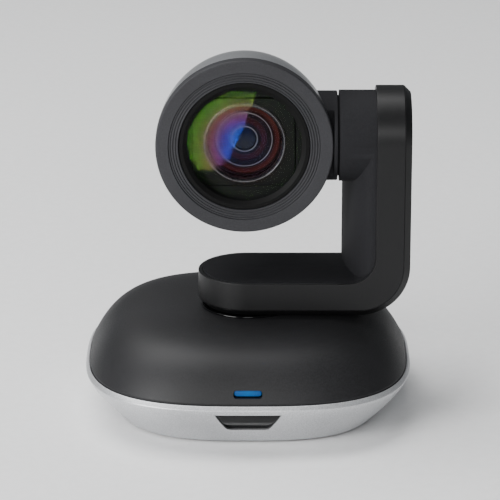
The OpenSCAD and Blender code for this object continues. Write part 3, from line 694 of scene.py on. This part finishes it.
# %% [markdown]
# A tree is set on an object as a modifier. Its inputs go in by the socket's identifier before the
# object is first worked out. One helper does that for every tree here, turns the result into a
# plain mesh and drops the modifier.

# %% Grow a mesh from a tree


def grow(name, tree, sizes, finish, points=()):
    mesh = bpy.data.meshes.new(name)
    mesh.from_pydata([Vector(p) * MM for p in points], [], [])
    piece = bpy.data.objects.new(name, mesh)
    rule = piece.modifiers.new("rule", "NODES")
    rule.node_group = tree
    for socket in tree.interface.items_tree:
        if socket.in_out == "INPUT" and socket.name in sizes:
            rule[socket.identifier] = sizes[socket.name]
        elif socket.in_out == "INPUT" and socket.name == "Finish":
            rule[socket.identifier] = finish
    scene.collection.objects.link(piece)
    return apply_all(piece)


lid = grow("black_lid", lid_tree, lid_sizes, textured_abs)
clean(lid.data)
wall = lid.modifiers.new("wall", "SOLIDIFY")
wall.thickness = 1.6 * MM
wall.offset = -1
apply_all(lid)
print("lid spans", [round(side / MM, 1) for side in lid.dimensions])

# %% [markdown]
# At the front the lid has a small slot with round ends for the status light. The light guide
# sits in its upper part, a millimetre deep, so a black ledge stays below it.

# %% Status light
slot_edge = [(5.65, 25.8, 1.45), (-5.65, 25.8, 1.45), (-5.65, 22.9, 1.45), (5.65, 22.9, 1.45)]
slot_hole = piece_from("tool_slot", *prism_in_y(eased(slot_edge, 8), -75, -50))
cut(lid, slot_hole)
dress(lid, textured_abs, "base", "matte_black", "top_cover")
guide_edge = [(5.3, 25.6, 1.05), (-5.3, 25.6, 1.05), (-5.3, 23.5, 1.05), (5.3, 23.5, 1.05)]
guide_outline = eased(guide_edge, 8)
guide_middle = 24.55
guide_rings = [
    [(x * grow_by, depth, guide_middle + (z - guide_middle) * grow_by) for x, z in guide_outline]
    for grow_by, depth in [(1.0, -54.2), (1.0, -60.3), (0.97, -60.6), (0.9, -60.75), (0.02, -60.9)]
]
guide = piece_from("status_light_guide", *loft(guide_rings, closed=False))
dress(guide, light_guide, "base", "blue_light", "status_light")

# %% [markdown]
# ## Softened CAD parts
# The arm, axle boss, collar, port block, base plate, feet and lens mask already have the right
# shape. What they lack is the small round on each edge that draws a thin highlight. Each is
# copied, its loose triangles are merged, flat areas are joined, and a bevel rounds the corners.
# The CAD mesh stays as it is.

# %% Soften edges


def softened(name, node, width, corner=28, segments=3):
    mesh = nodes[node].data.copy()
    mesh.name = name
    work = bmesh.new()
    work.from_mesh(mesh)
    bmesh.ops.remove_doubles(work, verts=work.verts, dist=0.003 * MM)
    bmesh.ops.dissolve_limit(work, angle_limit=math.radians(0.6), verts=work.verts, edges=work.edges)
    work.to_mesh(mesh)
    work.free()
    piece = bpy.data.objects.new(name, mesh)
    scene.collection.objects.link(piece)
    round_over = piece.modifiers.new("round", "BEVEL")
    round_over.width = width * MM
    round_over.segments = segments
    round_over.limit_method = "ANGLE"
    round_over.angle_limit = math.radians(corner)
    round_over.use_clamp_overlap = True
    apply_all(piece)
    clean(piece.data, corner)
    return piece


for name, node, width, finish, body, record_slot in [
    ("arm_centre_band", "arm_frame", 0.35, arm_paint, "arm", "arm_black"),
    ("arm_inner_lining", "arm_lining", 0.3, lining_black, "arm", "arm_black"),
    ("arm_outer_cover", "arm_cover", 0.3, arm_paint, "arm", "arm_black"),
    ("axle_boss", "tilt_boss", 0.4, lining_black, "head", "arm_black"),
    ("hub_collar", "hub_ring", 0.2, gloss_plastic, "base", "gloss_black"),
    ("socket_block", "port_panel", 0.25, rear_plastic, "base", "plate_black"),
    ("base_plate", "bottom_plate", 0.25, rear_plastic, "base", "plate_black"),
    ("rubber_foot_pads", "rubber_feet", 0.5, foot_rubber, "base", "rubber"),
    ("picture_mask", "lens_mask", 0.15, mask_black, "head", "matte_black"),
]:
    dress(softened(name, node, width), finish, body, record_slot, node)

# %% [markdown]
# ## The head
# The barrel is turned on the lens axis: a long arc of 80 mm radius, widest near the front, and a
# rounded cap at the back. A round hole in its side lets the axle boss in with a narrow gap.

# %% Barrel and rear cap


BARREL_WIDEST, BARREL_ARC, WIDEST_AT = 34.7, 80, -10
BARREL_FRONT, BARREL_BACK, BARREL_WALL = -12, 34, 2.0
BOSS_HOLE_RADIUS = 18.0


def barrel_radius(along, inset=0.0):
    return BARREL_WIDEST - BARREL_ARC - inset + math.sqrt(BARREL_ARC**2 - (along - WIDEST_AT) ** 2)


barrel_length = BARREL_BACK - BARREL_FRONT
outer_stops = [BARREL_FRONT + barrel_length * k / 40 for k in range(41)]
inner_stops = [BARREL_BACK - barrel_length * k / 20 for k in range(21)]
barrel_outline = [(barrel_radius(along), along) for along in outer_stops]
barrel_outline += [(barrel_radius(along, BARREL_WALL), along) for along in inner_stops]
barrel = piece_from("head_barrel", *turned(barrel_outline, on_lens_axis, 220))
boss_turns = [2 * math.pi * i / 120 for i in range(120)]
boss_rings = [[on_tilt_axis(BOSS_HOLE_RADIUS, x, turn) for turn in boss_turns] for x in (24, 45)]
boss_hole = piece_from("tool_boss", *loft(boss_rings, closed=False))
cut(barrel, boss_hole)
dress(barrel, barrel_paint, "head", "barrel_paint", "barrel_shell")
cap_edge = barrel_radius(BARREL_BACK)
cap_outline = eased(
    [
        (0, 40, 0), (cap_edge - 1.5, 40, 4.2), (cap_edge - 0.35, 34.2, 0.3),
        (cap_edge - 2.4, 34.1, 0), (cap_edge - 4, 37.5, 2), (0, 37.5, 0),
    ],
    10,
)
rear_cap = piece_from("head_rear_cap", *turned(cap_outline, on_lens_axis))
dress(rear_cap, rear_plastic, "head", "matte_black", "rear_cap")

# %% [markdown]
# The front ring is a flat disc with a chamfered rim. Inside its flat lies a band of fine ridges,
# which stops stray light. The ridges repeat, so Geometry Nodes draws them: circles of growing
# radius, given a small round section.

# %% Front ring
ring_outline = eased(
    [
        (35, -12, 0.2), (35, -17, 0.75), (30.0, -17, 0.25),
        (29.7, -16.3, 0.1), (25.95, -16.3, 0.15), (25.95, -12, 0.1),
    ],
    6,
)
front_ring = piece_from("head_front_ring", *turned(ring_outline, on_lens_axis, 220))
dress(front_ring, bezel_plastic, "head", "bezel_grey", "front_bezel")

ridge_tree = new_tree(
    "light_stop_ridges",
    ("First radius", "Float"), ("Pitch", "Float"), ("Thickness", "Float"),
    ("Ridges", "Int"), ("Centre", "Vector"),
)
size = add_node(ridge_tree, "NodeGroupInput").outputs
row = add_node(ridge_tree, "GeometryNodeMeshLine", {"Offset": (0, 0, 0)}, {"Count": size["Ridges"]})
order = add_node(ridge_tree, "GeometryNodeInputIndex")
ridge_radius = add_node(
    ridge_tree, "ShaderNodeMath",
    links={0: order.outputs[0], 1: size["Pitch"], 2: size["First radius"]}, operation="MULTIPLY_ADD",
)
circle = add_node(
    ridge_tree, "GeometryNodeCurvePrimitiveCircle", {"Resolution": 200, "Radius": 1.0}
)
placed = add_node(
    ridge_tree, "GeometryNodeInstanceOnPoints", {"Rotation": (math.pi / 2, 0, 0)},
    {"Points": row.outputs[0], "Instance": circle.outputs[0], "Scale": ridge_radius.outputs[0]},
)
real = add_node(ridge_tree, "GeometryNodeRealizeInstances", links={"Geometry": placed.outputs[0]})
section = add_node(
    ridge_tree, "GeometryNodeCurvePrimitiveCircle", {"Resolution": 8}, {"Radius": size["Thickness"]}
)
swept = add_node(
    ridge_tree, "GeometryNodeCurveToMesh",
    links={"Curve": real.outputs[0], "Profile Curve": section.outputs[0]},
)
centred = add_node(
    ridge_tree, "GeometryNodeTransform", links={"Geometry": swept.outputs[0], "Translation": size["Centre"]}
)
whole = add_node(ridge_tree, "GeometryNodeRealizeInstances", links={"Geometry": centred.outputs[0]})
painted = add_node(
    ridge_tree, "GeometryNodeSetMaterial", links={"Geometry": whole.outputs[0], "Material": size["Finish"]}
)
add_node(ridge_tree, "NodeGroupOutput", links={0: painted.outputs[0]})
ridges = grow(
    "front_ring_ridges", ridge_tree,
    {
        "First radius": 26.35 * MM, "Pitch": 1.025 * MM, "Thickness": 0.36 * MM, "Ridges": 4,
        "Centre": (lens_axis[0], -16.3 * MM, lens_axis[1]),
    },
    bezel_plastic,
)
clean(ridges.data, 60)
dress(ridges, bezel_plastic, "head", "bezel_grey")

# %% [markdown]
# A satin black ring holds the window. Behind the flat window sit a matt mask with a rounded
# opening, the lens tube of black anodised aluminium, and the front lens, a bulging disc of glass.

# %% Window and lens
trim_outline = eased(
    [
        (25.8, -12.6, 0), (25.8, -16.1, 0.3), (24.2, -16.1, 0.3), (22.5, -15.0, 0.15),
        (22.5, -14.9, 0), (24, -14.85, 0), (24, -12.6, 0),
    ]
)
trim = piece_from("window_trim_ring", *turned(trim_outline, on_lens_axis, 200))
dress(trim, stop_black, "head", "gloss_black", "trim_ring")
pane_outline = eased([(0, -14.8, 0), (23.55, -14.8, 0.1), (23.55, -13.4, 0.1), (0, -13.4, 0)])
pane = piece_from("flat_window", *turned(pane_outline, on_lens_axis), 12)
dress(pane, window_glass, "head", "clear_glass", "front_window")

deep_glass = grained(
    "dark_glass_polished", "#030304", "#050507", 3.0, (0.03, 0.05), 0.0, Specular_IOR_Level=0.2
)
ring_metal = grained("aluminium_black_anodised", "#2b2a2c", "#3c3b3e", 0.4, (0.2, 0.35), 0.004, Metallic=0.7)
# Partly painted highlight: the turned edges are light grey so that they show as bright glints without a lamp
# mirrored in them.
rim_metal_and_painted_glint = grained("aluminium_turned_with_painted_glint", "#6c6d70", "#8a8b8e", 0.3, (0.3, 0.4), 0.004, Metallic=0.5)
tube_outline = eased(
    [(14.85, -4, 0), (16.2, -4, 0), (16.2, -11.4, 0.2), (15.5, -11.4, 0.2), (14.85, -10.6, 0.1)]
)
tube = piece_from("lens_tube_turned", *turned(tube_outline, on_lens_axis))
dress(tube, ring_metal, "head", "matte_black", "lens_tube")
glass_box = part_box("front_lens")
glass_front, glass_back = glass_box[0].y / MM, glass_box[1].y / MM
print("front lens from", round(glass_front, 2), "to", round(glass_back, 2))
LENS_RADIUS, FRONT_BULGE, BACK_BULGE = 14.7, 2.4, 1.2
rim_at = glass_front + FRONT_BULGE
glass_outline = [
    (LENS_RADIUS * k / 24, rim_at - (rim_at - glass_front) * (1 - (k / 24) ** 2)) for k in range(25)
]
glass_outline += [
    (LENS_RADIUS * (1 - k / 12), glass_back - BACK_BULGE * (1 - k / 12) ** 2) for k in range(13)
]
glass = piece_from("front_lens_glass", *turned(glass_outline, on_lens_axis))
dress(glass, lens_glass, "head", "lens_glass", "front_lens")

# %% [markdown]
# Behind the front lens the cell steps back to a second, smaller lens. The dark red rings with
# black between are painted reflections of the lens coatings, laid on the cell as its colour by
# the distance from the axis. Three turned edges show as fine bright circles: thin light grey
# rings, partly bare metal and partly painted highlight. One outline makes the steps.

# %% Lens cell
cell_finish, tree, shader, place = start_finish(
    "cell_black_with_painted_red_reflections", Roughness=0.5, Specular_IOR_Level=0.08
)
# Painted reflection: the dark red rings stand for the coating reflections, painted as the cell's colour.
painted_reflection_rings = [
    (5.0, "#070606"), (6.2, "#0a0707"), (6.8, "#260c08"), (8.6, "#200b08"), (9.2, "#090707"),
    (11.2, "#0b0808"), (11.8, "#1e0a07"), (13.4, "#38150f"), (14.0, "#140908"), (14.6, "#0a0909"),
]
tree.links.new(painted_reflection_by_radius(tree, place, 16.0, painted_reflection_rings), shader.inputs["Base Color"])
cell_outline = [
    (14.7, -6.0), (13.9, -6.0), (13.7, -5.75), (11.9, -5.6), (11.7, -5.9), (11.1, -5.9), (10.9, -5.4),
    (8.9, -5.2), (8.8, -5.0), (6.9, -4.8), (6.8, -5.1), (5.3, -5.1), (4.9, -4.5), (4.9, -4.3), (14.7, -4.3),
]
cell = piece_from("lens_cell_steps", *turned(cell_outline, on_lens_axis))
dress(cell, cell_finish, "head", "matte_black", "lens_baffle")
SECOND_RADIUS, SECOND_BULGE = 4.85, 0.7
second_outline = [(SECOND_RADIUS * k / 12, -5.1 + SECOND_BULGE * (k / 12) ** 2) for k in range(13)]
second_outline += [(SECOND_RADIUS, -4.35), (0, -4.35)]
second_lens = piece_from("second_lens_glass", *turned(second_outline, on_lens_axis, 96))
dress(second_lens, deep_glass, "head", "lens_glass")
for name, radius, along, thick in [
    ("cell_edge_outer", 15.75, -11.35, 0.1),
    ("cell_edge_middle", 10.95, -5.95, 0.14),
    ("cell_edge_inner", 5.1, -5.15, 0.17),
]:
    angles = [a * math.pi / 5 for a in range(10)]
    round_section = [(radius + thick * math.cos(a), along + thick * math.sin(a)) for a in angles]
    rim = piece_from(name, *turned(round_section, on_lens_axis, 140))
    dress(rim, rim_metal_and_painted_glint, "head", "matte_black")

# %% [markdown]
# ## Screws
# The underside is closed with small pan-head screws, all the same. One screw is modelled with
# its domed head and cross recess, and Geometry Nodes sets a copy at each hole.

# %% One screw and its places
screws = bmesh.new()
screws.from_mesh(nodes["base_screws"].data)
bmesh.ops.remove_doubles(screws, verts=screws.verts, dist=0.003 * MM)
unseen, seats = set(screws.verts), []
while unseen:
    group, edge_of_group = set(), [next(iter(unseen))]
    while edge_of_group:
        vertex = edge_of_group.pop()
        if vertex not in group:
            group.add(vertex)
            edge_of_group += [edge.other_vert(vertex) for edge in vertex.link_edges]
    unseen -= group
    low = [min(v.co[axis] for v in group) / MM for axis in range(3)]
    high = [max(v.co[axis] for v in group) / MM for axis in range(3)]
    middle = ((low[0] + high[0]) / 2, (low[1] + high[1]) / 2)
    seats.append((*middle, low[2], (high[0] - low[0]) / 2, high[2] - low[2]))
screws.free()
# A set has no fixed order, so the seats are sorted: each screw then gets the same turn every run.
seats.sort()
head_radius, screw_length = seats[0][3], seats[0][4]
print(len(seats), "screws with head radius", round(head_radius, 2), "and length", round(screw_length, 2))


def on_screw_axis(radius, along, turn):
    return (radius * math.cos(turn), radius * math.sin(turn), along)


screw_outline = eased(
    [
        (0, 0, 0), (head_radius * 0.7, 0, 0.5), (head_radius, 0.7, 0.3), (head_radius, 1.7, 0.1),
        (1.2, 1.7, 0), (1.2, screw_length, 0), (0, screw_length, 0),
    ],
    3,
)
screw = piece_from("one_screw", *turned(screw_outline, on_screw_axis, 40))
cross = []
for w, d in [(1.5, 0.3), (0.3, 1.5)]:
    slot_corners = [(-w, -d), (w, -d), (w, d), (-w, d)]
    slot_rings = [[(x, y, z) for x, y in slot_corners] for z in (-1, 0.9)]
    cross.append(piece_from("tool_cross", *loft(slot_rings, closed=False)))
cut(screw, *cross)

seat_tree = new_tree(
    "screws_at_holes", ("Geometry", "Geometry"), ("Screw", "Object"), ("Most turn", "Float")
)
size = add_node(seat_tree, "NodeGroupInput").outputs
model = add_node(seat_tree, "GeometryNodeObjectInfo", links={"Object": size["Screw"]})
stopped = add_node(
    seat_tree, "FunctionNodeRandomValue", {"Seed": 7}, data_type="FLOAT"
)
seat_tree.links.new(size["Most turn"], stopped.inputs[3])
spun = add_node(seat_tree, "ShaderNodeCombineXYZ", links={"Z": stopped.outputs[1]})
placed = add_node(
    seat_tree, "GeometryNodeInstanceOnPoints",
    links={"Points": size["Geometry"], "Instance": model.outputs["Geometry"], "Rotation": spun.outputs[0]},
)
real = add_node(seat_tree, "GeometryNodeRealizeInstances", links={"Geometry": placed.outputs[0]})
painted = add_node(
    seat_tree, "GeometryNodeSetMaterial", links={"Geometry": real.outputs[0], "Material": size["Finish"]}
)
add_node(seat_tree, "NodeGroupOutput", links={0: painted.outputs[0]})
fixings = grow(
    "base_screws_cross_head", seat_tree, {"Screw": screw, "Most turn": math.pi / 2}, zinc_plate,
    [seat[:3] for seat in seats],
)
bpy.data.objects.remove(screw)
clean(fixings.data, 40)
dress(fixings, zinc_plate, "base", "zinc_screws", "base_screws")

# %% [markdown]
# The remaining CAD nodes keep their shape. Each takes the finish that its real part would have.

# %% Finishes of the carried-over nodes
kept = {
    brass: ("tripod_insert", "zoom_screw", "focus_screw"),
    board: ("light_board", "main_board", "arm_board", "sensor_board"),
    mask_black: ("lens_housing",),
    rear_plastic: ("remote_receiver", "power_jack", "zoom_carriage", "focus_carriage"),
    sheet_black: ("drive_plate", "head_frame"),
    zinc_plate: ("shield_can", "usb_port", "arm_screws", "head_screws", "lock_plate"),
    zinc_casting: ("pan_bridge",),
    bronze: ("pan_bearing", "tilt_bearing"),
    motor_can: ("pan_motor", "tilt_motor", "zoom_motor", "focus_motor"),
    steel: ("pan_shaft", "tilt_shaft", "guide_rods", "pan_clip", "tilt_clip"),
    nylon: ("pan_pinion", "pan_gear", "tilt_pinion", "tilt_gear"),
    ribbon: ("arm_cable",),
    lens_glass: ("zoom_lens", "focus_lens"),
}
for finish, names in kept.items():
    for name in names:
        nodes[name].data.materials.clear()
        nodes[name].data.materials.append(finish)
left = [n for n in nodes if not nodes[n].hide_render and n not in sum(kept.values(), ())]
print("nodes without a finish of their own:", left)

# %% [markdown]
# ## The studio
# A plain pale floor runs out of view on all sides. A large soft lamp stands in front at the
# left, a small weak one straight in front, and the largest overhead. The sky is pale to the
# camera but dim as a light, so that the lamps shape the object.

# %% Floor and lamps
floor_mesh = bpy.data.meshes.new("studio_floor")
floor_mesh.from_pydata([(-3, -3, 0), (3, -3, 0), (3, 3, 0), (-3, 3, 0)], [], [(0, 1, 2, 3)])
floor = bpy.data.objects.new("studio_floor", floor_mesh)
scene.collection.objects.link(floor)
floor_mesh.materials.append(
    grained("pale_paper_sweep", "#f0f0f0", "#f4f4f4", 4.0, (0.6, 0.7), 0.0, drift=300)
)

sky = bpy.data.worlds.new("studio_sky")
sky.use_nodes = True
sky.node_tree.nodes.clear()
seen = add_node(sky.node_tree, "ShaderNodeLightPath")
backdrop = add_node(
    sky.node_tree, "ShaderNodeBackground", {"Color": linear("#f4f5f6"), "Strength": 1.0}
)
dim_room = add_node(
    sky.node_tree, "ShaderNodeBackground", {"Color": linear("#e6eaee"), "Strength": 0.22}
)
either = add_node(
    sky.node_tree, "ShaderNodeMixShader",
    links={0: seen.outputs["Is Camera Ray"], 1: dim_room.outputs[0], 2: backdrop.outputs[0]},
)
add_node(sky.node_tree, "ShaderNodeOutputWorld", links={"Surface": either.outputs[0]})
scene.world = sky

# Each lamp: its place and size in metres, and its power in watts.
lamps = {
    "key_softbox": ((-0.95, -0.95, 0.5), 0.7, 0.7, 24.0),
    "front_softbox": ((0.0, -1.5, 0.75), 0.6, 0.4, 7.0),
    "overhead_softbox": ((-0.45, 0.25, 1.4), 1.2, 1.2, 27.0),
}
for name, (place, width, depth, power) in lamps.items():
    lamp = bpy.data.lights.new(name, "AREA")
    lamp.shape = "RECTANGLE"
    lamp.size, lamp.size_y, lamp.energy = width, depth, power
    stand = bpy.data.objects.new(name, lamp)
    stand.location = place
    stand.rotation_euler = (Vector((0, 0, 0.06)) - stand.location).to_track_quat("-Z", "Y").to_euler()
    scene.collection.objects.link(stand)
print("lamps:", len(lamps))

# %% [markdown]
# A flat window is a mirror. A small bright card stands where the camera sees it in the glass,
# and its slanted edge parts the coloured sheen from the dark. To find the card's place, a line
# goes from the camera through each corner of the wanted patch on the window, runs on behind the
# glass, and is folded back to the front. The card is a studio light, not part of the object: it
# lights only the window, casts no shadow, and its sheen shows only from about this angle.

# %% Reflector card
mirror = lens_box[0].y
beyond_glass = 1.2
patch = [(8.0, 26.0), (-6.4, -6.2), (-14.0, -11.0), (-26.0, -9.0), (-26.0, 26.0)]
corners = []
for x, z in patch:
    on_glass = Vector((lens_axis[0] + x * MM, mirror, lens_axis[1] + z * MM))
    behind = camera.location + (on_glass - camera.location) * beyond_glass
    corners.append((behind.x, 2 * mirror - behind.y, behind.z))
card_mesh = bpy.data.meshes.new("reflector_card")
card_mesh.from_pydata(corners, [], [tuple(range(len(corners)))])
card = bpy.data.objects.new("reflector_card", card_mesh)
scene.collection.objects.link(card)
card_light, _, shader, _ = start_finish("white_card_lit", Roughness=0.9, Emission_Strength=40.0)
shader.inputs["Base Color"].default_value = linear("#f0f0f0")
shader.inputs["Emission Color"].default_value = linear("#ffffff")
card_mesh.materials.append(card_light)
card.visible_camera = card.visible_diffuse = card.visible_shadow = False
lit_by_card = bpy.data.collections.new("lit_by_card")
lit_by_card.objects.link(pane)
card.light_linking.receiver_collection = lit_by_card
print("card corners in mm:", [[round(c / MM) for c in corner] for corner in corners])
